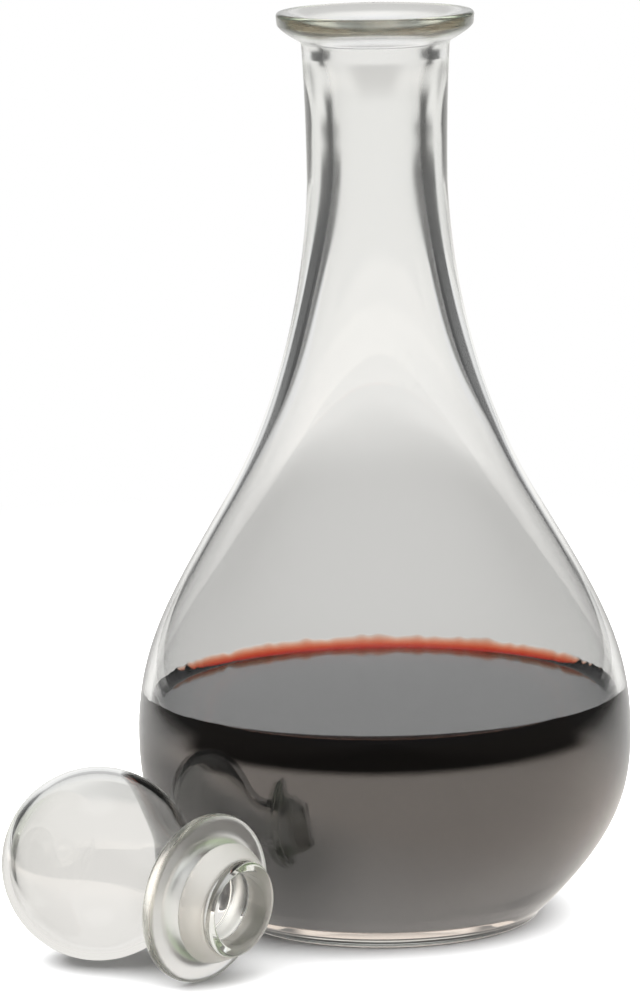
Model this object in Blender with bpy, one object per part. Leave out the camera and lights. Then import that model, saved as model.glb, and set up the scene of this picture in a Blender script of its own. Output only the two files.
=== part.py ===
"""Glass decanter of red wine, with its hollow ball stopper lying beside it.

Metres, +Z up. The decanter stands at the origin, its front towards -Y. Each
piece is turned from an outline of (radius, height) points in its own frame.
"""

import math

import bmesh
import bpy
from mathutils import Vector

MM = 0.001
SLACK = 0.3 * MM            # gap between pieces that touch in real life
DECANTER_SIDES = 48
STOPPER_SIDES = 40

# Decanter, outside
HEIGHT = 230.0 * MM
FOOT_RADIUS = 39.0 * MM     # where the belly leaves the foot's rounded edge
FOOT_EDGE = 1.0 * MM        # height and width of that rounded edge
HEEL_LEAN = math.radians(46.5)
BELLY_RADIUS = 62.5 * MM
BELLY_HEIGHT = 47.5 * MM
SHOULDER_RADIUS = 39.3 * MM
SHOULDER_HEIGHT = 107.4 * MM
SHOULDER_LEAN = math.radians(31.0)
WAIST_RADIUS = 17.6 * MM
WAIST_HEIGHT = 188.0 * MM
NECK_TOP_RADIUS = 18.5 * MM
NECK_TOP_HEIGHT = 221.5 * MM
COLLAR_ROOT_RADIUS = 20.2 * MM
COLLAR_ROOT_HEIGHT = 223.5 * MM
COLLAR_RADIUS = 24.7 * MM
COLLAR_BAND_RADIUS = 24.5 * MM
COLLAR_BAND_FOOT = 227.0 * MM
COLLAR_TOP_EDGE = 0.9 * MM

# How far the outside's curves run straight on from the places above
HEEL_PULL = 29.4 * MM
BELLY_PULL_DOWN = 14.5 * MM
BELLY_PULL_UP = 21.3 * MM
SHOULDER_PULL_DOWN = 30.4 * MM
SHOULDER_PULL_UP = 40.0 * MM
WAIST_PULL_DOWN = 4.0 * MM
WAIST_PULL_UP = 12.0 * MM
NECK_TOP_PULL = (0.6 * MM, 10.0 * MM)

# Pulls at the start and the end of the rim's curves, outwards and up
COLLAR_FILLET = ((0.1 * MM, 1.2 * MM), (1.2 * MM, 0.8 * MM))
COLLAR_SIDE = ((2.2 * MM, 1.3 * MM), (0.3 * MM, 1.0 * MM))
DISH_TO_SEAT = ((-6.0 * MM, -0.7 * MM), (0.0, -5.5 * MM))
SEAT_TO_THROAT = ((-0.7 * MM, -4.6 * MM), (0.0, -9.0 * MM))

# Mouth: a round dish, the stopper's seat, and the throat
DISH_RADIUS = 22.9 * MM
SEAT_RADIUS = 13.1 * MM
SEAT_TOP = 220.4 * MM
SEAT_FOOT = 218.2 * MM
THROAT_RADIUS = 11.0 * MM
THROAT_TOP = 202.0 * MM
THROAT_FOOT = 197.0 * MM

# Decanter, inside
BASE_THICKNESS = 5.5 * MM
BASE_RADIUS = 38.0 * MM     # flat part of the inside's floor
INNER_HEEL_RADIUS = 43.3 * MM
INNER_HEEL_HEIGHT = 9.5 * MM
BELLY_WALL = 2.7 * MM
SHOULDER_WALL = 2.0 * MM
THROAT_PULL = 15.0 * MM
INNER_SHOULDER_PULL_UP = 45.0 * MM
INNER_SHOULDER_PULL_DOWN = 30.7 * MM
INNER_BELLY_PULL_UP = 20.6 * MM
INNER_BELLY_PULL_DOWN = 11.2 * MM
INNER_HEEL_PULL_UP = 21.0 * MM
INNER_HEEL_PULL_DOWN = 6.0 * MM
BASE_PULL = 3.0 * MM

# Wine
WINE_LEVEL = 55.9 * MM
MENISCUS_RISE = 2.8 * MM
MENISCUS_WIDTH = 3.4 * MM
MENISCUS_START = (1.6 * MM, 0.0)
MENISCUS_CLIMB = (0.5 * MM, 1.3 * MM)

# Stopper, measured along its axis from the middle of the ball
BALL_RADIUS = 24.0 * MM
BALL_WALL = 1.8 * MM
BALL_OPEN_ANGLE = 35.0      # degrees past the ball's girth at which it turns into the stem
FAR_END_RING = 15.0 * MM    # where the hollow's far end turns flatter
FAR_END_WALL = 4.2 * MM
STEM_RADIUS = 11.8 * MM
STEM_START = 28.5 * MM
STEM_FILLET = 2.2 * MM
FLANGE_RADIUS = 21.0 * MM
FLANGE_BACK = 34.6 * MM
FLANGE_FRONT = 38.2 * MM
FLANGE_EDGE = 1.5 * MM
SHOULDER_FOOT_RADIUS = 17.6 * MM
PLUG_SHOULDER_RADIUS = 14.6 * MM
PLUG_SHOULDER_END = 41.4 * MM
GROOVE_RADIUS = 11.4 * MM
GROOVE_END = 47.3 * MM
LIP_RADIUS = 12.0 * MM
LIP_EDGE = 1.1 * MM
PLUG_END = 48.7 * MM
BORE_RADIUS = 9.0 * MM
BORE_EDGE = 0.9 * MM

# How the stopper's curves start and end, outwards and along the axis
BALL_TO_STEM = ((-4.0 * MM, 5.7 * MM), (0.0, 6.0 * MM))
FLANGE_TO_SHOULDER = ((-1.6 * MM, 0.2 * MM), (-0.6 * MM, 2.0 * MM))
BORE_TO_HOLLOW = ((0.0, -5.0 * MM), (3.4 * MM, -4.9 * MM))
RING_TO_FAR_END = ((-5.0 * MM, -2.4 * MM), (-6.0 * MM, 0.0))

# Sealing sleeve on the stopper's plug
SEAL_RADIUS = 15.0 * MM
SEAL_FRONT_RADIUS = 12.7 * MM
SEAL_START = PLUG_SHOULDER_END + SLACK
SEAL_END = 46.9 * MM
SEAL_EDGE = 0.7 * MM
SEAL_TAPER = 23.0           # degrees by which the sleeve's side leans to the axis

# Where the stopper lies: ball and flange both rest on the table
STOPPER_X = -71.3 * MM
STOPPER_Y = -44.0 * MM
STOPPER_HEADING = math.radians(-42.0)   # from +X, turned towards the front


def curve(start, lead, tail, end, steps):
    """Cubic curve from start to end, pulled along lead and against tail."""
    a, b, c, d = Vector(start), Vector(start) + Vector(lead), Vector(end) - Vector(tail), Vector(end)
    points = []
    for i in range(1, steps + 1):
        t = i / steps
        s = 1.0 - t
        points.append(tuple(s**3 * a + 3 * s * s * t * b + 3 * s * t * t * c + t**3 * d))
    return points


def arc(centre, radius, first, last, steps):
    """Points on a circle, from the angle first to the angle last in degrees."""
    points = []
    for i in range(steps + 1):
        angle = math.radians(first + (last - first) * i / steps)
        points.append((centre[0] + radius * math.cos(angle), centre[1] + radius * math.sin(angle)))
    return points


def leaning(lean, length):
    """A pull of the given length that leans outwards from straight up."""
    return (length * math.sin(lean), length * math.cos(lean))


def decanter_outside():
    points = [(0.0, 0.0)]
    points += arc((FOOT_RADIUS - FOOT_EDGE, FOOT_EDGE), FOOT_EDGE, -90, 0, 2)
    points += curve(points[-1], leaning(HEEL_LEAN, HEEL_PULL), (0.0, BELLY_PULL_DOWN),
                    (BELLY_RADIUS, BELLY_HEIGHT), 8)
    points += curve(points[-1], (0.0, BELLY_PULL_UP), leaning(-SHOULDER_LEAN, SHOULDER_PULL_DOWN),
                    (SHOULDER_RADIUS, SHOULDER_HEIGHT), 6)
    points += curve(points[-1], leaning(-SHOULDER_LEAN, SHOULDER_PULL_UP), (0.0, WAIST_PULL_DOWN),
                    (WAIST_RADIUS, WAIST_HEIGHT), 7)
    points += curve(points[-1], (0.0, WAIST_PULL_UP), NECK_TOP_PULL,
                    (NECK_TOP_RADIUS, NECK_TOP_HEIGHT), 4)
    return points


def collar():
    """Fillet under the rim, its rounded side, and the edge of its top."""
    points = curve((NECK_TOP_RADIUS, NECK_TOP_HEIGHT), *COLLAR_FILLET,
                   (COLLAR_ROOT_RADIUS, COLLAR_ROOT_HEIGHT), 3)
    points += curve(points[-1], *COLLAR_SIDE, (COLLAR_BAND_RADIUS, COLLAR_BAND_FOOT), 4)
    edge_centre = (COLLAR_RADIUS - COLLAR_TOP_EDGE, HEIGHT - COLLAR_TOP_EDGE)
    points += arc(edge_centre, COLLAR_TOP_EDGE, 0, 90, 3)
    return points


def mouth():
    """Dish in the rim, the stopper's seat, and the narrowing down to the throat."""
    points = [(DISH_RADIUS, HEIGHT)]
    points += curve(points[-1], *DISH_TO_SEAT, (SEAT_RADIUS, SEAT_TOP), 6)
    points.append((SEAT_RADIUS, SEAT_FOOT))
    points += curve(points[-1], *SEAT_TO_THROAT, (THROAT_RADIUS, THROAT_TOP), 3)
    points.append((THROAT_RADIUS, THROAT_FOOT))
    return points


def decanter_inside(gap=0.0):
    """Inside of the glass from the throat down to the base, gap clear of it."""
    shoulder_wall = SHOULDER_WALL + gap
    shoulder = (SHOULDER_RADIUS - shoulder_wall * math.cos(SHOULDER_LEAN),
                SHOULDER_HEIGHT - shoulder_wall * math.sin(SHOULDER_LEAN))
    belly = (BELLY_RADIUS - BELLY_WALL - gap, BELLY_HEIGHT)
    heel = (INNER_HEEL_RADIUS - gap * math.cos(HEEL_LEAN), INNER_HEEL_HEIGHT + gap * math.sin(HEEL_LEAN))
    corner = (math.pi / 2 - HEEL_LEAN) / 2
    base = (BASE_RADIUS - gap * math.tan(corner), BASE_THICKNESS + gap)
    points = curve((THROAT_RADIUS - gap, THROAT_FOOT), (0.0, -THROAT_PULL),
                   leaning(-SHOULDER_LEAN, -INNER_SHOULDER_PULL_UP), shoulder, 9)
    points += curve(shoulder, leaning(-SHOULDER_LEAN, -INNER_SHOULDER_PULL_DOWN),
                    (0.0, -INNER_BELLY_PULL_UP), belly, 7)
    points += curve(belly, (0.0, -INNER_BELLY_PULL_DOWN), leaning(HEEL_LEAN, -INNER_HEEL_PULL_UP), heel, 6)
    points += curve(heel, leaning(HEEL_LEAN, -INNER_HEEL_PULL_DOWN), (-BASE_PULL, 0.0), base, 3)
    points.append((0.0, BASE_THICKNESS + gap))
    return points


def wine_outline():
    """Level surface, the rim that climbs the glass, and the inside of the glass."""
    contact_height = WINE_LEVEL + MENISCUS_RISE
    wall = decanter_inside(SLACK)
    above, below = next(pair for pair in zip(wall, wall[1:]) if pair[1][1] < contact_height)
    share = (above[1] - contact_height) / (above[1] - below[1])
    contact = (above[0] + share * (below[0] - above[0]), contact_height)
    points = [(0.0, WINE_LEVEL), (contact[0] - MENISCUS_WIDTH, WINE_LEVEL)]
    points += curve(points[-1], MENISCUS_START, MENISCUS_CLIMB, contact, 3)
    points += [point for point in wall if point[1] < contact_height]
    return points


def stopper_ball():
    points = arc((0.0, 0.0), BALL_RADIUS, -90, BALL_OPEN_ANGLE, 11)
    points += curve(points[-1], *BALL_TO_STEM, (STEM_RADIUS, STEM_START), 4)
    points += arc((STEM_RADIUS + STEM_FILLET, FLANGE_BACK - STEM_FILLET), STEM_FILLET, 180, 90, 3)
    return points


def stopper_flange_and_plug():
    """Flange, the shoulder in front of it, the sleeve's groove, and the lip round the bore."""
    edge = FLANGE_RADIUS - FLANGE_EDGE
    points = arc((edge, FLANGE_BACK + FLANGE_EDGE), FLANGE_EDGE, -90, 0, 3)
    points += arc((edge, FLANGE_FRONT - FLANGE_EDGE), FLANGE_EDGE, 0, 90, 3)
    points.append((SHOULDER_FOOT_RADIUS, FLANGE_FRONT))
    points += curve(points[-1], *FLANGE_TO_SHOULDER, (PLUG_SHOULDER_RADIUS, PLUG_SHOULDER_END), 3)
    points.append((GROOVE_RADIUS, PLUG_SHOULDER_END))
    points.append((GROOVE_RADIUS, GROOVE_END))
    points += arc((LIP_RADIUS - LIP_EDGE, PLUG_END - LIP_EDGE), LIP_EDGE, 0, 90, 3)
    points += arc((BORE_RADIUS + BORE_EDGE, PLUG_END - BORE_EDGE), BORE_EDGE, 90, 180, 2)
    return points


def stopper_hollow():
    """Bore, its widening into the ball, and the flatter far end of the hollow."""
    hollow_radius = BALL_RADIUS - BALL_WALL
    ring_angle = -math.degrees(math.acos(FAR_END_RING / hollow_radius))
    sphere = arc((0.0, 0.0), hollow_radius, BALL_OPEN_ANGLE, ring_angle, 7)
    points = [(BORE_RADIUS, STEM_START)]
    points += curve(points[-1], *BORE_TO_HOLLOW, sphere[0], 4)
    points += sphere[1:]
    points += curve(points[-1], *RING_TO_FAR_END, (0.0, FAR_END_WALL - BALL_RADIUS), 4)
    return points


def seal_outline():
    """The sleeve tapers from a round shoulder at its back to the lip of the glass."""
    inner = GROOVE_RADIUS + SLACK
    back = (SEAL_RADIUS - SEAL_EDGE, SEAL_START + SEAL_EDGE)
    front = (SEAL_FRONT_RADIUS - SEAL_EDGE, SEAL_END - SEAL_EDGE)
    points = [(inner, SEAL_START)]
    points += arc(back, SEAL_EDGE, -90, SEAL_TAPER, 2)
    points += arc(front, SEAL_EDGE, SEAL_TAPER, 90, 2)
    points.append((inner, SEAL_END))
    return points


def turned(name, outline, sides, material, ring=False):
    """Turn an outline about +Z. It runs from axis to axis, or round in a ring."""
    mesh = bpy.data.meshes.new(name)
    work = bmesh.new()
    verts = [work.verts.new((radius, 0.0, height)) for radius, height in outline]
    followers = verts[1:] + verts[:1] if ring else verts[1:]
    edges = [work.edges.new(pair) for pair in zip(verts, followers)]
    bmesh.ops.spin(work, geom=verts + edges, cent=(0, 0, 0), axis=(0, 0, 1),
                   angle=2 * math.pi, steps=sides, use_merge=True)
    bmesh.ops.remove_doubles(work, verts=work.verts[:], dist=0.001 * MM)
    bmesh.ops.recalc_face_normals(work, faces=work.faces[:])
    work.to_mesh(mesh)
    work.free()
    mesh.materials.append(material)
    mesh.shade_smooth()
    mesh.set_sharp_from_angle(angle=math.radians(40))
    piece = bpy.data.objects.new(name, mesh)
    bpy.context.scene.collection.objects.link(piece)
    return piece


def clear_material(name, color, roughness, transmission, ior):
    material = bpy.data.materials.new(name)
    material.use_nodes = True
    shader = material.node_tree.nodes["Principled BSDF"]
    shader.inputs["Base Color"].default_value = (*color, 1.0)
    shader.inputs["Roughness"].default_value = roughness
    shader.inputs["Metallic"].default_value = 0.0
    shader.inputs["Transmission Weight"].default_value = transmission
    shader.inputs["IOR"].default_value = ior
    return material


def stopper_slope():
    """Angle below level at which ball and flange both touch the table."""
    along = FLANGE_FRONT - FLANGE_EDGE
    across = FLANGE_RADIUS - FLANGE_EDGE
    lift = BALL_RADIUS - FLANGE_EDGE
    return math.asin(lift / math.hypot(along, across)) - math.atan2(across, along)


def build_decanter():
    glass = clear_material("glass", (0.96, 0.98, 0.96), 0.02, 1.0, 1.5)
    outline = decanter_outside() + collar() + mouth() + decanter_inside()
    return turned("decanter", outline, DECANTER_SIDES, glass)


def build_wine():
    wine = clear_material("wine", (0.08, 0.01, 0.02), 0.02, 0.3, 1.34)
    return turned("wine", wine_outline(), DECANTER_SIDES, wine)


def build_stopper():
    glass = clear_material("stopper_glass", (0.96, 0.98, 0.96), 0.02, 1.0, 1.5)
    plastic = clear_material("seal_plastic", (0.86, 0.86, 0.84), 0.35, 0.6, 1.5)
    outline = stopper_ball() + stopper_flange_and_plug() + stopper_hollow()
    pieces = [turned("stopper", outline, STOPPER_SIDES, glass)]
    pieces.append(turned("stopper_seal", seal_outline(), STOPPER_SIDES, plastic, ring=True))
    pose = bpy.data.objects.new("stopper_pose", None)
    bpy.context.scene.collection.objects.link(pose)
    pose.location = (STOPPER_X, STOPPER_Y, BALL_RADIUS)
    pose.rotation_euler = (0.0, math.pi / 2 + stopper_slope(), STOPPER_HEADING)
    for piece in pieces:
        piece.parent = pose
    return pieces


def main():
    for old in list(bpy.data.objects):
        bpy.data.objects.remove(old, do_unlink=True)
    build_decanter()
    build_wine()
    build_stopper()


main()
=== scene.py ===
"""Looks of the glass decanter: clear glass, red wine, the stopper and its milky seal.

Metres, in the row's frame. Each piece is turned again from the sizes of its solid, with
many more sides, because glass bends light well only over a smooth surface.
"""

import math

import bmesh
import bpy
from mathutils import Euler, Matrix, Vector


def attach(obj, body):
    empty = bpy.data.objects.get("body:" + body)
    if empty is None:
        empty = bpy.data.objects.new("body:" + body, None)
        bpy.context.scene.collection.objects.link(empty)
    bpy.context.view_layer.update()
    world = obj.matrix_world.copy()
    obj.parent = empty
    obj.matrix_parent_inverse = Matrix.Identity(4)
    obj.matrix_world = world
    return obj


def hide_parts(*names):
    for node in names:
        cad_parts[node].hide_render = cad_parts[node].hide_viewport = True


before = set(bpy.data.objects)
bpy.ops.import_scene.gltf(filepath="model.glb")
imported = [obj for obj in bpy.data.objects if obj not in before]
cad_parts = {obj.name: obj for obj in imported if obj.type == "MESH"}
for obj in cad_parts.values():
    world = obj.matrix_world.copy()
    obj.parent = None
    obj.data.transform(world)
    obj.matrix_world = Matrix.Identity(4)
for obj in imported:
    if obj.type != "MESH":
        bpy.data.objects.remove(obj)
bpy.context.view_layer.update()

MM = 0.001
FINE = 4                    # steps along a curve for each of the solid's
DECANTER_SIDES = 256
WINE_SIDES = 512
STOPPER_SIDES = 192
SHARP_ANGLE = math.radians(50)

# Steps of the solid's outlines, stretch by stretch
OUTSIDE_STEPS = (8, 2, 8, 6, 7, 4)      # foot, its edge, heel, shoulder, waist, neck
COLLAR_STEPS = (3, 4, 3)                # fillet, side, top edge
MOUTH_STEPS = (6, 4, 3, 20)             # dish, seat, narrowing, throat
INSIDE_STEPS = (9, 7, 6, 3, 8)          # shoulder, belly, heel, corner, base
WINE_STEPS = (12, 3)                    # level surface, rim
BALL_STEPS = (11, 4, 3)                 # ball, stem, fillet
PLUG_STEPS = (3, 3, 3, 3, 2)            # flange's edges, shoulder, lip, bore's edge
HOLLOW_STEPS = (4, 7, 4)                # widening, ball, far end
SEAL_STEPS = (2, 2)                     # back edge, front edge

# Decanter, outside
HEIGHT = 230.0 * MM
FOOT_RADIUS = 39.0 * MM     # where the belly leaves the foot's rounded edge
FOOT_EDGE = 1.0 * MM        # height and width of that rounded edge
HEEL_LEAN = math.radians(46.5)
BELLY_RADIUS = 62.5 * MM
BELLY_HEIGHT = 47.5 * MM
SHOULDER_RADIUS = 39.3 * MM
SHOULDER_HEIGHT = 107.4 * MM
SHOULDER_LEAN = math.radians(31.0)
WAIST_RADIUS = 17.6 * MM
WAIST_HEIGHT = 188.0 * MM
NECK_TOP_RADIUS = 18.5 * MM
NECK_TOP_HEIGHT = 221.5 * MM
COLLAR_ROOT_RADIUS = 20.2 * MM
COLLAR_ROOT_HEIGHT = 223.5 * MM
COLLAR_RADIUS = 24.7 * MM
COLLAR_BAND_RADIUS = 24.5 * MM
COLLAR_BAND_FOOT = 227.0 * MM
COLLAR_TOP_EDGE = 0.9 * MM

# How far the outside's curves run straight on from the places above
HEEL_PULL = 29.4 * MM
BELLY_PULL_DOWN = 14.5 * MM
BELLY_PULL_UP = 21.3 * MM
SHOULDER_PULL_DOWN = 30.4 * MM
SHOULDER_PULL_UP = 40.0 * MM
WAIST_PULL_DOWN = 4.0 * MM
WAIST_PULL_UP = 12.0 * MM
NECK_TOP_PULL = (0.6 * MM, 10.0 * MM)

# Pulls at the start and the end of the rim's curves, outwards and up
COLLAR_FILLET = ((0.1 * MM, 1.2 * MM), (1.2 * MM, 0.8 * MM))
COLLAR_SIDE = ((2.2 * MM, 1.3 * MM), (0.3 * MM, 1.0 * MM))
DISH_TO_SEAT = ((-6.0 * MM, -0.7 * MM), (0.0, -5.5 * MM))
SEAT_TO_THROAT = ((-0.7 * MM, -4.6 * MM), (0.0, -9.0 * MM))

# Mouth: a round dish, the stopper's seat, and the throat
DISH_RADIUS = 22.9 * MM
SEAT_RADIUS = 13.1 * MM
SEAT_TOP = 220.4 * MM
SEAT_FOOT = 218.2 * MM
THROAT_RADIUS = 11.0 * MM
THROAT_TOP = 202.0 * MM
THROAT_FOOT = 197.0 * MM

# Decanter, inside
BASE_THICKNESS = 5.5 * MM
BASE_RADIUS = 38.0 * MM     # flat part of the inside's floor
INNER_HEEL_RADIUS = 43.3 * MM
INNER_HEEL_HEIGHT = 9.5 * MM
BELLY_WALL = 2.7 * MM
SHOULDER_WALL = 2.0 * MM
THROAT_PULL = 15.0 * MM
INNER_SHOULDER_PULL_UP = 45.0 * MM
INNER_SHOULDER_PULL_DOWN = 30.7 * MM
INNER_BELLY_PULL_UP = 20.6 * MM
INNER_BELLY_PULL_DOWN = 11.2 * MM
INNER_HEEL_PULL_UP = 21.0 * MM
INNER_HEEL_PULL_DOWN = 6.0 * MM
BASE_PULL = 3.0 * MM

# Wine
WINE_LEVEL = 55.9 * MM
MENISCUS_RISE = 2.8 * MM
MENISCUS_WIDTH = 3.4 * MM
MENISCUS_START = (1.6 * MM, 0.0)
MENISCUS_CLIMB = (0.5 * MM, 1.3 * MM)
WALL_BITE = 0.04 * MM       # how far wine and seal reach into the glass, so no air shows

# Stopper, measured along its axis from the middle of the ball
BALL_RADIUS = 24.0 * MM
BALL_WALL = 1.8 * MM
BALL_OPEN_ANGLE = 35.0      # degrees past the ball's girth at which it turns into the stem
FAR_END_RING = 15.0 * MM    # where the hollow's far end turns flatter
FAR_END_WALL = 4.2 * MM
STEM_RADIUS = 11.8 * MM
STEM_START = 28.5 * MM
STEM_FILLET = 2.2 * MM
FLANGE_RADIUS = 21.0 * MM
FLANGE_BACK = 34.6 * MM
FLANGE_FRONT = 38.2 * MM
FLANGE_EDGE = 1.5 * MM
SHOULDER_FOOT_RADIUS = 17.6 * MM
PLUG_SHOULDER_RADIUS = 14.6 * MM
PLUG_SHOULDER_END = 41.4 * MM
GROOVE_RADIUS = 11.4 * MM
GROOVE_END = 47.3 * MM
LIP_RADIUS = 12.0 * MM
LIP_EDGE = 1.1 * MM
PLUG_END = 48.7 * MM
BORE_RADIUS = 9.0 * MM
BORE_EDGE = 0.9 * MM

# How the stopper's curves start and end, outwards and along the axis
BALL_TO_STEM = ((-4.0 * MM, 5.7 * MM), (0.0, 6.0 * MM))
FLANGE_TO_SHOULDER = ((-1.6 * MM, 0.2 * MM), (-0.6 * MM, 2.0 * MM))
BORE_TO_HOLLOW = ((0.0, -5.0 * MM), (3.4 * MM, -4.9 * MM))
RING_TO_FAR_END = ((-5.0 * MM, -2.4 * MM), (-6.0 * MM, 0.0))

# Sealing sleeve on the stopper's plug
SEAL_RADIUS = 15.0 * MM
SEAL_FRONT_RADIUS = 12.7 * MM
SEAL_EDGE = 0.7 * MM
SEAL_TAPER = 23.0           # degrees by which the sleeve's side leans to the axis

# Materials
GLASS_IOR = 1.5
GLASS_TINT = (0.87, 0.965, 0.85)
STOPPER_TINT = (0.70, 0.90, 0.58)
GLASS_DENSITY = 6.0
WINE_IOR = 1.345
WINE_TINT = (0.89, 0.37, 0.11)
WINE_DENSITY = 1700.0
SEAL_IOR = 1.5
SEAL_COLOUR = (0.90, 0.885, 0.84)
SEAL_ROUGHNESS = 0.35
SEAL_CLEARNESS = 0.75

# Ripples of the surfaces: their fineness by the metre, and their depth
GLASS_RIPPLE = (40.0, 0.05 * MM)
WINE_RIPPLE = (60.0, 0.1 * MM)
SEAL_RIPPLE = (300.0, 0.05 * MM)
RIPPLE_STRENGTH = 0.1
RIPPLE_DETAIL = 2.0
EVEN = (1.0, 1.0, 1.0)
DRAWN_UP = (1.0, 1.0, 0.6)      # ripples that are longer up the decanter than round it

# Haze of the collar and of the inside of the neck
COLLAR_HAZE = 0.20
COLLAR_HAZE_FROM = (222.5 * MM, 224.0 * MM)
NECK_HAZE = 0.17
NECK_HAZE_FROM = (150.0 * MM, 185.0 * MM)
NECK_WALL = (13.6 * MM, 15.0 * MM)      # radii between inside and outside

# Satin part of the stopper's glass, along the axis
SATIN = 0.42
SATIN_FROM = (36.8 * MM, 38.0 * MM)
SATIN_TO = (41.4 * MM, 41.6 * MM)

# Where the stopper lies
STOPPER_X = -71.3 * MM
STOPPER_Y = -44.0 * MM
STOPPER_HEADING = math.radians(-42.0)

# Unevenness of the inside of the neck
WAVE = 0.15 * MM
WAVES_FOOT = 115.0 * MM
WAVES_FADE = 15.0 * MM
NECK_WAVES = ((3, 14.0), (5, -11.0), (2, 8.0))      # swells round, and mm of height a radian

# Unevenness of the wine's rim
RIM_WAVES = (13, 23, 37, 53, 71, 97)     # swells round the rim
RIM_FALL = 0.35                         # how fast the finer swells get smaller
RIM_UNEVENNESS = 0.55 * MM
RIM_WALL_LEAN = 0.14                    # how far the wall leans in there, by height

# Camera
CAMERA_DISTANCE = 1420.7 * MM
CAMERA_HEIGHT = 363.7 * MM
CAMERA_PITCH = math.radians(10.256)
CAMERA_YAW = math.radians(-0.627)
CAMERA_ROLL = math.radians(-0.903)
CAMERA_LENS = 205.9
CAMERA_SENSOR = 36.0
CAMERA_CLIP = (0.05, 100.0)

# Studio: a white paper sweep that rises to a wall behind, a dim ceiling with a lamp, and
# dark beside and in front. Glows are radiances, and pairs are where a change starts and ends.
SWEEP_HALF_WIDTH = 1.15
SWEEP_SOFTNESS = 0.18
SWEEP_DEPTH = 2.8
WALL_TOP = (0.235, 0.285)   # sine of the height at which the wall ends
WALL_GLOW = 0.95
SIDE_GLOW = 0.09            # beside the sweep
WALL_UPPER_GLOW = 0.50      # the part of the wall above its bright foot
WALL_UPPER_WIDTH = (0.6, 1.6)   # sideways over depth
CEILING_GLOW = 0.50
CEILING_FOOT = (0.45, 0.80) # sines of the heights at which ceiling and lamp start
LAMP_GLOW = 0.85
LAMP_FOOT = (0.93, 0.99)
# As the glass sees it, the floor is a painted glow: a painted pool of light on the table in front,
# painted shades behind the decanter and round the stopper, and a painted glow under the foot.
FRONT_GLOW = 0.06           # past the lit table's front edge
FLOOR_SIDE = 0.92           # the paper behind the decanter, at either side of its painted shade
FLOOR_SHADED = 0.66         # painted shade of the decanter on the floor, straight behind it
SHADED_WIDTH = (0.06, 0.15)
SHADED_TO = (0.66, 1.42)
FLOOR_FAR = 0.94            # the paper further back
FAR_FROM = (1.0, 1.3)
FLOOR_FRONT = 1.50          # painted pool of light: the lit table in front, which ends at TABLE_EDGE
FRONT_FROM = (-0.01, 0.2)
TABLE_EDGE = (0.29, 0.36)
EDGE_TO = (0.0, 0.1)
TABLE_MIDDLE = -0.03
TABLE_WIDENS = (0.35, 1.0)  # the painted pool of light is narrower beside the decanter than behind it
TABLE_SHARE = 0.35
SHADE_X = -0.085            # painted shade: the darker patch in which the stopper lies
SHADE_Y = 0.05
SHADE_REACH = (0.11, 0.19)
SHADE_FRONT = (-0.045, -0.02)
SHADE_SIDE = (-0.035, 0.0)
# brightness of the painted shade round the stopper
STOPPER_SHADE = 0.83
# how warm the painted light stays inside the stopper's painted shade
SHADE_WARMTH = 0.2
UNDER_FOOT = (0.034, 0.042) # painted glow on the floor under the decanter, for the light that the base gathers
# brightness of the painted glow under the foot
FOOT_GLOW = 2.0
PAPER_TINT = (1.0, 0.99, 0.965)
# warm colour of the painted pool of light on the table in front
LIT_TABLE_TINT = (1.0, 0.92, 0.85)
SHADOW_REACH = (0.25, 0.6)
STRAIGHT_AHEAD = 0.001      # least depth that sideways is divided by
FLOOR_SIZE = 40.0
FLOOR_DROP = 0.3 * MM       # how far the floor lies below the foot
PAPER_ROUGHNESS = 0.9
SOFTBOX_HEIGHT = 1.5
SOFTBOX_BACK = 0.15
SOFTBOX_SIZE = 4.2
SOFTBOX_POWER = 235.0
LIGHT_BOUNCES = 48


# ---------------------------------------------------------------- outlines

def curve(start, lead, tail, end, steps):
    """Cubic curve from start to end, pulled along lead and against tail."""
    a, d = Vector(start), Vector(end)
    b, c = a + Vector(lead), d - Vector(tail)
    points = []
    for i in range(1, steps * FINE + 1):
        t = i / (steps * FINE)
        s = 1.0 - t
        points.append(tuple(s**3 * a + 3 * s * s * t * b + 3 * s * t * t * c + t**3 * d))
    return points


def arc(centre, radius, first, last, steps):
    """Points on a circle, from the angle first to the angle last in degrees."""
    points = []
    for i in range(steps * FINE + 1):
        angle = math.radians(first + (last - first) * i / (steps * FINE))
        points.append((centre[0] + radius * math.cos(angle),
                       centre[1] + radius * math.sin(angle)))
    return points


def line(start, end, steps):
    """Evenly spaced points from start to end, without the start."""
    a, b = Vector(start), Vector(end)
    return [tuple(a.lerp(b, i / steps)) for i in range(1, steps + 1)]


def leaning(lean, length):
    """Pull of that length that leans outwards from upright."""
    return (length * math.sin(lean), length * math.cos(lean))


def decanter_outside():
    """Foot, heel, belly, shoulder and neck, up to the collar."""
    foot_flat = FOOT_RADIUS - FOOT_EDGE
    points = [(0.0, 0.0)] + line((0.0, 0.0), (foot_flat, 0.0), OUTSIDE_STEPS[0])[:-1]
    points += arc((foot_flat, FOOT_EDGE), FOOT_EDGE, -90, 0, OUTSIDE_STEPS[1])
    points += curve(points[-1], leaning(HEEL_LEAN, HEEL_PULL), (0.0, BELLY_PULL_DOWN),
                    (BELLY_RADIUS, BELLY_HEIGHT), OUTSIDE_STEPS[2])
    points += curve(points[-1], (0.0, BELLY_PULL_UP), leaning(-SHOULDER_LEAN, SHOULDER_PULL_DOWN),
                    (SHOULDER_RADIUS, SHOULDER_HEIGHT), OUTSIDE_STEPS[3])
    points += curve(points[-1], leaning(-SHOULDER_LEAN, SHOULDER_PULL_UP), (0.0, WAIST_PULL_DOWN),
                    (WAIST_RADIUS, WAIST_HEIGHT), OUTSIDE_STEPS[4])
    points += curve(points[-1], (0.0, WAIST_PULL_UP), NECK_TOP_PULL,
                    (NECK_TOP_RADIUS, NECK_TOP_HEIGHT), OUTSIDE_STEPS[5])
    return points


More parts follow.
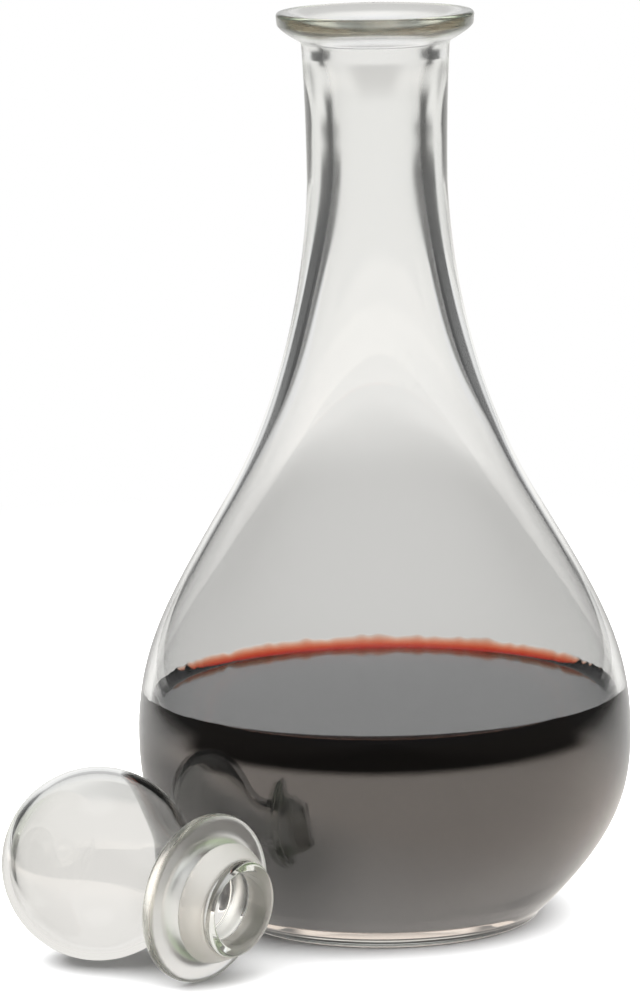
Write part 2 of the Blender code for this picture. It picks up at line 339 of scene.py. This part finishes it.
def collar():
    """Fillet under the rim, its rounded side, and the edge of its top."""
    points = curve((NECK_TOP_RADIUS, NECK_TOP_HEIGHT), *COLLAR_FILLET,
                   (COLLAR_ROOT_RADIUS, COLLAR_ROOT_HEIGHT), COLLAR_STEPS[0])
    points += curve(points[-1], *COLLAR_SIDE, (COLLAR_BAND_RADIUS, COLLAR_BAND_FOOT),
                    COLLAR_STEPS[1])
    edge_centre = (COLLAR_RADIUS - COLLAR_TOP_EDGE, HEIGHT - COLLAR_TOP_EDGE)
    points += arc(edge_centre, COLLAR_TOP_EDGE, 0, 90, COLLAR_STEPS[2])
    return points


def mouth():
    """Dish in the rim, the stopper's seat, and the narrowing down to the throat."""
    points = [(DISH_RADIUS, HEIGHT)]
    points += curve(points[-1], *DISH_TO_SEAT, (SEAT_RADIUS, SEAT_TOP), MOUTH_STEPS[0])
    points += line(points[-1], (SEAT_RADIUS, SEAT_FOOT), MOUTH_STEPS[1])
    points += curve(points[-1], *SEAT_TO_THROAT, (THROAT_RADIUS, THROAT_TOP), MOUTH_STEPS[2])
    points += line(points[-1], (THROAT_RADIUS, THROAT_FOOT), MOUTH_STEPS[3])
    return points


def decanter_inside(bite=0.0):
    """Inside of the glass from the throat down to the base, bite deep in the wall."""
    shoulder_wall = SHOULDER_WALL - bite
    shoulder = (SHOULDER_RADIUS - shoulder_wall * math.cos(SHOULDER_LEAN),
                SHOULDER_HEIGHT - shoulder_wall * math.sin(SHOULDER_LEAN))
    belly = (BELLY_RADIUS - BELLY_WALL + bite, BELLY_HEIGHT)
    heel = (INNER_HEEL_RADIUS + bite * math.cos(HEEL_LEAN),
            INNER_HEEL_HEIGHT - bite * math.sin(HEEL_LEAN))
    corner = (math.pi / 2 - HEEL_LEAN) / 2
    base = (BASE_RADIUS + bite * math.tan(corner), BASE_THICKNESS - bite)
    points = curve((THROAT_RADIUS + bite, THROAT_FOOT), (0.0, -THROAT_PULL),
                   leaning(-SHOULDER_LEAN, -INNER_SHOULDER_PULL_UP), shoulder, INSIDE_STEPS[0])
    points += curve(shoulder, leaning(-SHOULDER_LEAN, -INNER_SHOULDER_PULL_DOWN),
                    (0.0, -INNER_BELLY_PULL_UP), belly, INSIDE_STEPS[1])
    points += curve(belly, (0.0, -INNER_BELLY_PULL_DOWN),
                    leaning(HEEL_LEAN, -INNER_HEEL_PULL_UP), heel, INSIDE_STEPS[2])
    points += curve(heel, leaning(HEEL_LEAN, -INNER_HEEL_PULL_DOWN),
                    (-BASE_PULL, 0.0), base, INSIDE_STEPS[3])
    points += line(points[-1], (0.0, BASE_THICKNESS - bite), INSIDE_STEPS[4])
    return points


def wine_outline():
    """Level surface, the rim that climbs the glass, and the inside of the glass."""
    contact_height = WINE_LEVEL + MENISCUS_RISE
    wall = decanter_inside(WALL_BITE)
    above, below = next(pair for pair in zip(wall, wall[1:]) if pair[1][1] < contact_height)
    share = (above[1] - contact_height) / (above[1] - below[1])
    contact = (above[0] + share * (below[0] - above[0]), contact_height)
    level_edge = (contact[0] - MENISCUS_WIDTH, WINE_LEVEL)
    points = [(0.0, WINE_LEVEL)] + line((0.0, WINE_LEVEL), level_edge, WINE_STEPS[0])
    points += curve(level_edge, MENISCUS_START, MENISCUS_CLIMB, contact, WINE_STEPS[1])
    points += [point for point in wall if point[1] < contact_height]
    return points


def stopper_ball():
    """Ball, stem, and the fillet at the back of the flange."""
    points = arc((0.0, 0.0), BALL_RADIUS, -90, BALL_OPEN_ANGLE, BALL_STEPS[0])
    points += curve(points[-1], *BALL_TO_STEM, (STEM_RADIUS, STEM_START), BALL_STEPS[1])
    points += arc((STEM_RADIUS + STEM_FILLET, FLANGE_BACK - STEM_FILLET), STEM_FILLET,
                  180, 90, BALL_STEPS[2])
    return points


def stopper_flange_and_plug():
    """Flange, the shoulder in front of it, the sleeve's groove, and the lip round the bore."""
    edge = FLANGE_RADIUS - FLANGE_EDGE
    points = arc((edge, FLANGE_BACK + FLANGE_EDGE), FLANGE_EDGE, -90, 0, PLUG_STEPS[0])
    points += arc((edge, FLANGE_FRONT - FLANGE_EDGE), FLANGE_EDGE, 0, 90, PLUG_STEPS[1])
    points.append((SHOULDER_FOOT_RADIUS, FLANGE_FRONT))
    points += curve(points[-1], *FLANGE_TO_SHOULDER, (PLUG_SHOULDER_RADIUS, PLUG_SHOULDER_END),
                    PLUG_STEPS[2])
    points.append((GROOVE_RADIUS, PLUG_SHOULDER_END))
    points.append((GROOVE_RADIUS, GROOVE_END))
    points += arc((LIP_RADIUS - LIP_EDGE, PLUG_END - LIP_EDGE), LIP_EDGE, 0, 90, PLUG_STEPS[3])
    points += arc((BORE_RADIUS + BORE_EDGE, PLUG_END - BORE_EDGE), BORE_EDGE,
                  90, 180, PLUG_STEPS[4])
    return points


def stopper_hollow():
    """Bore, its widening into the ball, and the flatter far end of the hollow."""
    hollow_radius = BALL_RADIUS - BALL_WALL
    ring_angle = -math.degrees(math.acos(FAR_END_RING / hollow_radius))
    sphere = arc((0.0, 0.0), hollow_radius, BALL_OPEN_ANGLE, ring_angle, HOLLOW_STEPS[1])
    points = [(BORE_RADIUS, STEM_START)]
    points += curve(points[-1], *BORE_TO_HOLLOW, sphere[0], HOLLOW_STEPS[0])
    points += sphere[1:]
    points += curve(points[-1], *RING_TO_FAR_END, (0.0, FAR_END_WALL - BALL_RADIUS),
                    HOLLOW_STEPS[2])
    return points


def seal_outline():
    """The sleeve tapers from a round shoulder at its back to the lip of the glass."""
    inner = GROOVE_RADIUS - WALL_BITE
    back = (SEAL_RADIUS - SEAL_EDGE, PLUG_SHOULDER_END + SEAL_EDGE)
    front = (SEAL_FRONT_RADIUS - SEAL_EDGE, GROOVE_END - SEAL_EDGE)
    points = [(inner, PLUG_SHOULDER_END)]
    points += arc(back, SEAL_EDGE, -90, SEAL_TAPER, SEAL_STEPS[0])
    points += arc(front, SEAL_EDGE, SEAL_TAPER, 90, SEAL_STEPS[1])
    points.append((inner, GROOVE_END))
    return points


# ---------------------------------------------------------------- pieces

def turned(name, outline, sides, ring=False, shift=None):
    """Turn an outline about +Z. It runs from axis to axis, or round in a ring.

    shift gives how far a point moves, outwards and up, from its step, height and angle.
    """
    verts = []
    rows = []
    for step, (radius, height) in enumerate(outline):
        if radius == 0.0:
            rows.append([len(verts)] * sides)
            verts.append((0.0, 0.0, height))
            continue
        rows.append(list(range(len(verts), len(verts) + sides)))
        for i in range(sides):
            angle = 2 * math.pi * i / sides
            out, up = shift(step, height, angle) if shift else (0.0, 0.0)
            reach = radius + out
            verts.append((reach * math.cos(angle), reach * math.sin(angle), height + up))
    faces = []
    for row, above in zip(rows, rows[1:] + rows[:1] if ring else rows[1:]):
        for i in range(sides):
            j = (i + 1) % sides
            corners = [row[i], row[j], above[j], above[i]]
            faces.append([c for k, c in enumerate(corners) if c != corners[k - 1]])
    mesh = bpy.data.meshes.new(name)
    mesh.from_pydata(verts, [], faces)
    work = bmesh.new()
    work.from_mesh(mesh)
    bmesh.ops.recalc_face_normals(work, faces=work.faces[:])
    work.to_mesh(mesh)
    work.free()
    mesh.shade_smooth()
    mesh.set_sharp_from_angle(angle=SHARP_ANGLE)
    piece = bpy.data.objects.new(name, mesh)
    bpy.context.scene.collection.objects.link(piece)
    return piece


def neck_waves(height, angle):
    """Slow swells of the inside of the neck, as blown glass has."""
    fade = min(1.0, (height - WAVES_FOOT) / WAVES_FADE, (THROAT_TOP - height) / WAVES_FADE)
    if fade <= 0.0:
        return 0.0
    way = height / MM
    swell = sum(math.sin(count * angle + way / pitch) for count, pitch in NECK_WAVES)
    return WAVE * fade * swell / len(NECK_WAVES)


def ragged_rim(step, height, angle):
    """The wine clings unevenly to the glass along its rim, most of all at the back."""
    share = (height - WINE_LEVEL) / MENISCUS_RISE
    if share <= 0.0:
        return 0.0, 0.0
    swell = sum(math.sin(count * angle + count * count) / count ** RIM_FALL
                for count in RIM_WAVES)
    up = RIM_UNEVENNESS * share * swell * (1.0 + math.sin(angle)) / 2.0
    return -RIM_WALL_LEAN * up, up


def stopper_pose():
    """The stopper lies on its ball and its flange's edge."""
    along = FLANGE_FRONT - FLANGE_EDGE
    across = FLANGE_RADIUS - FLANGE_EDGE
    lift = BALL_RADIUS - FLANGE_EDGE
    slope = math.asin(lift / math.hypot(along, across)) - math.atan2(across, along)
    turn = Euler((0.0, math.pi / 2 + slope, STOPPER_HEADING)).to_matrix().to_4x4()
    return Matrix.Translation((STOPPER_X, STOPPER_Y, BALL_RADIUS)) @ turn


def put(piece, node, material):
    """Give a piece its material, and let it ride and stand for its solid's node."""
    piece.data.materials.append(material)
    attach(piece, "root")
    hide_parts(node)


# ---------------------------------------------------------------- materials

def link(material, source, target):
    material.node_tree.links.new(source, target)


def ripple(material, shader, scale, depth, stretch=EVEN):
    """Faint unevenness of the surface, as blown or moulded pieces have."""
    nodes = material.node_tree.nodes
    place = nodes.new("ShaderNodeTexCoord")
    mapping = nodes.new("ShaderNodeMapping")
    mapping.inputs["Scale"].default_value = stretch
    noise = nodes.new("ShaderNodeTexNoise")
    noise.inputs["Scale"].default_value = scale
    noise.inputs["Detail"].default_value = RIPPLE_DETAIL
    bump = nodes.new("ShaderNodeBump")
    bump.inputs["Strength"].default_value = RIPPLE_STRENGTH
    bump.inputs["Distance"].default_value = depth
    link(material, place.outputs["Object"], mapping.inputs["Vector"])
    link(material, mapping.outputs["Vector"], noise.inputs["Vector"])
    link(material, noise.outputs["Fac"], bump.inputs["Height"])
    link(material, bump.outputs["Normal"], shader.inputs["Normal"])


def absorption(material, colour, density):
    """Colour that the clear material takes on with its thickness."""
    nodes = material.node_tree.nodes
    volume = nodes.new("ShaderNodeVolumeAbsorption")
    volume.inputs["Color"].default_value = (*colour, 1.0)
    volume.inputs["Density"].default_value = density
    link(material, volume.outputs["Volume"], nodes["Material Output"].inputs["Volume"])


def clear(name, ior, roughness):
    """Material that lets light through, and its shader."""
    material = bpy.data.materials.new(name)
    material.use_nodes = True
    shader = material.node_tree.nodes["Principled BSDF"]
    shader.inputs["Base Color"].default_value = (1.0, 1.0, 1.0, 1.0)
    shader.inputs["Roughness"].default_value = roughness
    shader.inputs["IOR"].default_value = ior
    shader.inputs["Transmission Weight"].default_value = 1.0
    return material, shader


def glass_material(name, stretch, tint):
    material, shader = clear(name, GLASS_IOR, 0.0)
    ripple(material, shader, *GLASS_RIPPLE, stretch)
    absorption(material, tint, GLASS_DENSITY)
    return material


def decanter_material():
    """Clear glass, with the faint haze of the collar and of the inside of the neck."""
    material = glass_material("decanter_clear", DRAWN_UP, GLASS_TINT)
    tree = material.node_tree
    place = tree.nodes.new("ShaderNodeTexCoord")
    x, y, height = parts_of(tree, place.outputs["Object"])
    inner = ramp(tree, length_of(tree, x, y), *NECK_WALL, NECK_HAZE, 0.0)
    neck = ramp(tree, height, *NECK_HAZE_FROM, 0.0, inner)
    rough = ramp(tree, height, *COLLAR_HAZE_FROM, neck, COLLAR_HAZE)
    tree.links.new(rough, tree.nodes["Principled BSDF"].inputs["Roughness"])
    return material


def stopper_material():
    """Clear glass, but satin on the flange's face and the shoulder that the sleeve meets."""
    material = glass_material("stopper_clear", EVEN, STOPPER_TINT)
    tree = material.node_tree
    place = tree.nodes.new("ShaderNodeTexCoord")
    back = tree.nodes.new("ShaderNodeVectorMath")
    back.operation = "SUBTRACT"
    back.inputs[1].default_value = (STOPPER_X, STOPPER_Y, BALL_RADIUS)
    tree.links.new(place.outputs["Object"], back.inputs[0])
    along = tree.nodes.new("ShaderNodeVectorMath")
    along.operation = "DOT_PRODUCT"
    along.inputs[1].default_value = stopper_pose().to_3x3() @ Vector((0.0, 0.0, 1.0))
    tree.links.new(back.outputs["Vector"], along.inputs[0])
    face = ramp(tree, along.outputs["Value"], *SATIN_FROM, 0.0, SATIN)
    rough = ramp(tree, along.outputs["Value"], *SATIN_TO, face, 0.0)
    tree.links.new(rough, tree.nodes["Principled BSDF"].inputs["Roughness"])
    return material


def wine_material():
    material, shader = clear("wine_red", WINE_IOR, 0.0)
    ripple(material, shader, *WINE_RIPPLE)
    absorption(material, WINE_TINT, WINE_DENSITY)
    return material


def seal_material():
    material, shader = clear("seal_milky", SEAL_IOR, SEAL_ROUGHNESS)
    shader.inputs["Base Color"].default_value = (*SEAL_COLOUR, 1.0)
    shader.inputs["Transmission Weight"].default_value = SEAL_CLEARNESS
    ripple(material, shader, *SEAL_RIPPLE)
    return material


# ---------------------------------------------------------------- studio

def maths(tree, operation, a, b=0.0):
    """A Math node on two sockets or numbers, and its result."""
    node = tree.nodes.new("ShaderNodeMath")
    node.operation = operation
    for socket, value in zip(node.inputs, (a, b)):
        if isinstance(value, (int, float)):
            socket.default_value = value
        else:
            tree.links.new(value, socket)
    return node.outputs["Value"]


def ramp(tree, value, low, high, at_low, at_high):
    """Smooth change from at_low to at_high as value goes from low to high."""
    node = tree.nodes.new("ShaderNodeMapRange")
    node.interpolation_type = "SMOOTHSTEP"
    tree.links.new(value, node.inputs["Value"])
    names = ("From Min", "From Max", "To Min", "To Max")
    for name, number in zip(names, (low, high, at_low, at_high)):
        socket = node.inputs[name]
        if isinstance(number, (int, float)):
            socket.default_value = number
        else:
            tree.links.new(number, socket)
    return node.outputs["Result"]


def mixed(tree, share, without, with_it):
    """without at share 0 and with_it at share 1."""
    rest = maths(tree, "SUBTRACT", 1.0, share)
    return maths(tree, "ADD", maths(tree, "MULTIPLY", without, rest),
                 maths(tree, "MULTIPLY", with_it, share))


def parts_of(tree, vector):
    """The x, y and z of a vector."""
    split = tree.nodes.new("ShaderNodeSeparateXYZ")
    tree.links.new(vector, split.inputs["Vector"])
    return split.outputs


def length_of(tree, x, y):
    """Length of the flat vector x, y."""
    squares = maths(tree, "ADD", maths(tree, "MULTIPLY", x, x), maths(tree, "MULTIPLY", y, y))
    return maths(tree, "SQRT", squares)


def build_world():
    """White for the camera. For the glass, the end of the sweep behind, and dark around it."""
    world = bpy.data.worlds.new("studio")
    bpy.context.scene.world = world
    world.use_nodes = True
    tree = world.node_tree
    place = tree.nodes.new("ShaderNodeTexCoord")
    path = tree.nodes.new("ShaderNodeLightPath")
    x, y, z = parts_of(tree, place.outputs["Generated"])
    depth = maths(tree, "MAXIMUM", y, STRAIGHT_AHEAD)
    sideways = maths(tree, "DIVIDE", maths(tree, "ABSOLUTE", x), depth)
    edge = SWEEP_HALF_WIDTH / SWEEP_DEPTH
    soft = SWEEP_SOFTNESS / SWEEP_DEPTH
    wall = ramp(tree, sideways, edge - soft, edge + soft, WALL_GLOW, SIDE_GLOW)
    upper = ramp(tree, sideways, *WALL_UPPER_WIDTH, WALL_UPPER_GLOW, SIDE_GLOW)
    ceiling = ramp(tree, z, *CEILING_FOOT, upper, CEILING_GLOW)
    lamp = ramp(tree, z, *LAMP_FOOT, ceiling, LAMP_GLOW)
    radiance = ramp(tree, z, *WALL_TOP, wall, lamp)
    seen = mixed(tree, path.outputs["Is Camera Ray"], radiance, 1.0)
    background = tree.nodes["Background"]
    background.inputs["Color"].default_value = (1.0, 1.0, 1.0, 1.0)
    tree.links.new(seen, background.inputs["Strength"])


def build_floor():
    """Pale paper for the camera. For the glass, a painted glow: the lit table, its painted shades,
    the painted glow under the foot, and its edges.
    """
    bpy.ops.mesh.primitive_plane_add(size=FLOOR_SIZE, location=(0.0, 0.0, -FLOOR_DROP))
    floor = bpy.context.object
    floor.name = "floor"
    material = bpy.data.materials.new("floor_paper")
    material.use_nodes = True
    tree = material.node_tree
    paper = tree.nodes["Principled BSDF"]
    paper.inputs["Base Color"].default_value = (1.0, 1.0, 1.0, 1.0)
    paper.inputs["Roughness"].default_value = PAPER_ROUGHNESS
    paper.inputs["Specular IOR Level"].default_value = 0.0
    place = tree.nodes.new("ShaderNodeNewGeometry")
    path = tree.nodes.new("ShaderNodeLightPath")
    x, y, _ = parts_of(tree, place.outputs["Position"])
    distance = length_of(tree, x, y)
    depth = maths(tree, "MAXIMUM", y, SWEEP_DEPTH)
    sweep = maths(tree, "MULTIPLY", depth, SWEEP_HALF_WIDTH / SWEEP_DEPTH)
    edge = maths(tree, "MULTIPLY", sweep, ramp(tree, y, *TABLE_WIDENS, TABLE_SHARE, 1.0))
    aside = maths(tree, "ABSOLUTE", maths(tree, "SUBTRACT", x, TABLE_MIDDLE))
    outside = maths(tree, "SUBTRACT", aside, edge)
    # painted shade of the decanter behind it
    behind = ramp(tree, y, *SHADED_TO, FLOOR_SHADED, FLOOR_FAR)
    beside = ramp(tree, maths(tree, "ABSOLUTE", x), *SHADED_WIDTH, behind, FLOOR_SIDE)
    far = ramp(tree, y, *FAR_FROM, beside, FLOOR_FAR)
    # painted pool of light on the table in front
    lit = ramp(tree, y, *FRONT_FROM, FLOOR_FRONT, far)
    # painted shade round the stopper
    off = length_of(tree, maths(tree, "SUBTRACT", x, SHADE_X), maths(tree, "SUBTRACT", y, SHADE_Y))
    shaded = ramp(tree, off, *SHADE_REACH, STOPPER_SHADE, lit)
    ahead = ramp(tree, x, *SHADE_SIDE, shaded, lit)
    near = ramp(tree, y, *SHADE_FRONT, ahead, shaded)
    front = ramp(tree, distance, *TABLE_EDGE, near, FRONT_GLOW)
    # painted glow under the foot
    table = ramp(tree, distance, *UNDER_FOOT, FOOT_GLOW, ramp(tree, y, *EDGE_TO, front, near))
    strength = ramp(tree, outside, -SWEEP_SOFTNESS, SWEEP_SOFTNESS, table, SIDE_GLOW)
    # the glass sees this painted glow in place of lit paper
    glow = tree.nodes.new("ShaderNodeEmission")
    tree.links.new(strength, glow.inputs["Strength"])
    # colour of the painted glow, warm where the painted pool of light lies in front
    shade = tree.nodes.new("ShaderNodeMix")
    shade.data_type = "RGBA"
    shade.inputs["A"].default_value = (*PAPER_TINT, 1.0)
    shade.inputs["B"].default_value = (*LIT_TABLE_TINT, 1.0)
    warm = ramp(tree, y, *FRONT_FROM, 1.0, 0.0)
    tree.links.new(ramp(tree, off, *SHADE_REACH, SHADE_WARMTH, warm), shade.inputs["Factor"])
    tree.links.new(shade.outputs["Result"], glow.inputs["Color"])
    join = tree.nodes.new("ShaderNodeMixShader")
    reach = ramp(tree, distance, *SHADOW_REACH, 1.0, 0.0)
    white = tree.nodes.new("ShaderNodeEmission")
    shown = tree.nodes.new("ShaderNodeMixShader")
    tree.links.new(reach, shown.inputs["Fac"])
    tree.links.new(white.outputs["Emission"], shown.inputs[1])
    tree.links.new(paper.outputs["BSDF"], shown.inputs[2])
    tree.links.new(path.outputs["Is Camera Ray"], join.inputs["Fac"])
    tree.links.new(glow.outputs["Emission"], join.inputs[1])
    tree.links.new(shown.outputs["Shader"], join.inputs[2])
    tree.links.new(join.outputs["Shader"], tree.nodes["Material Output"].inputs["Surface"])
    floor.data.materials.append(material)


def build_lights():
    data = bpy.data.lights.new("softbox", "AREA")
    data.shape = "SQUARE"
    data.size = SOFTBOX_SIZE
    data.energy = SOFTBOX_POWER
    light = bpy.data.objects.new("softbox", data)
    bpy.context.scene.collection.objects.link(light)
    light.location = (0.0, SOFTBOX_BACK, SOFTBOX_HEIGHT)
    light.visible_camera = False
    light.visible_glossy = False
    light.visible_transmission = False


def build_camera():
    forward = Vector((math.sin(CAMERA_YAW) * math.cos(CAMERA_PITCH),
                      math.cos(CAMERA_YAW) * math.cos(CAMERA_PITCH), -math.sin(CAMERA_PITCH)))
    level = Vector((math.cos(CAMERA_YAW), -math.sin(CAMERA_YAW), 0.0))
    upright = level.cross(forward)
    right = math.cos(CAMERA_ROLL) * level + math.sin(CAMERA_ROLL) * upright
    up = -math.sin(CAMERA_ROLL) * level + math.cos(CAMERA_ROLL) * upright
    data = bpy.data.cameras.new("camera")
    data.lens = CAMERA_LENS
    data.sensor_width = CAMERA_SENSOR
    data.clip_start, data.clip_end = CAMERA_CLIP
    camera = bpy.data.objects.new("camera", data)
    bpy.context.scene.collection.objects.link(camera)
    place = Matrix((right, up, -forward)).transposed().to_4x4()
    place.translation = (0.0, -CAMERA_DISTANCE, CAMERA_HEIGHT)
    camera.matrix_world = place
    bpy.context.scene.camera = camera


def set_light_transport():
    scene = bpy.context.scene
    scene.view_settings.view_transform = "Standard"
    scene.view_settings.look = "None"
    scene.cycles.max_bounces = LIGHT_BOUNCES
    scene.cycles.transmission_bounces = LIGHT_BOUNCES
    scene.cycles.glossy_bounces = LIGHT_BOUNCES
    scene.cycles.use_denoising = True


def build_pieces():
    outside = decanter_outside() + collar()

    def waves(step, height, angle):
        return (neck_waves(height, angle) if step >= len(outside) else 0.0, 0.0)

    decanter = turned("decanter_glass", outside + mouth() + decanter_inside(), DECANTER_SIDES,
                      shift=waves)
    put(decanter, "decanter", decanter_material())

    wine = turned("red_wine", wine_outline(), WINE_SIDES, shift=ragged_rim)
    put(wine, "wine", wine_material())

    stopper_outline = stopper_ball() + stopper_flange_and_plug() + stopper_hollow()
    stopper = turned("stopper_glass", stopper_outline, STOPPER_SIDES)
    seal = turned("stopper_sleeve", seal_outline(), STOPPER_SIDES, ring=True)
    for piece in (stopper, seal):
        piece.data.transform(stopper_pose())
    put(stopper, "stopper", stopper_material())
    put(seal, "stopper_seal", seal_material())


build_pieces()
build_world()
build_floor()
build_lights()
build_camera()
set_light_transport()
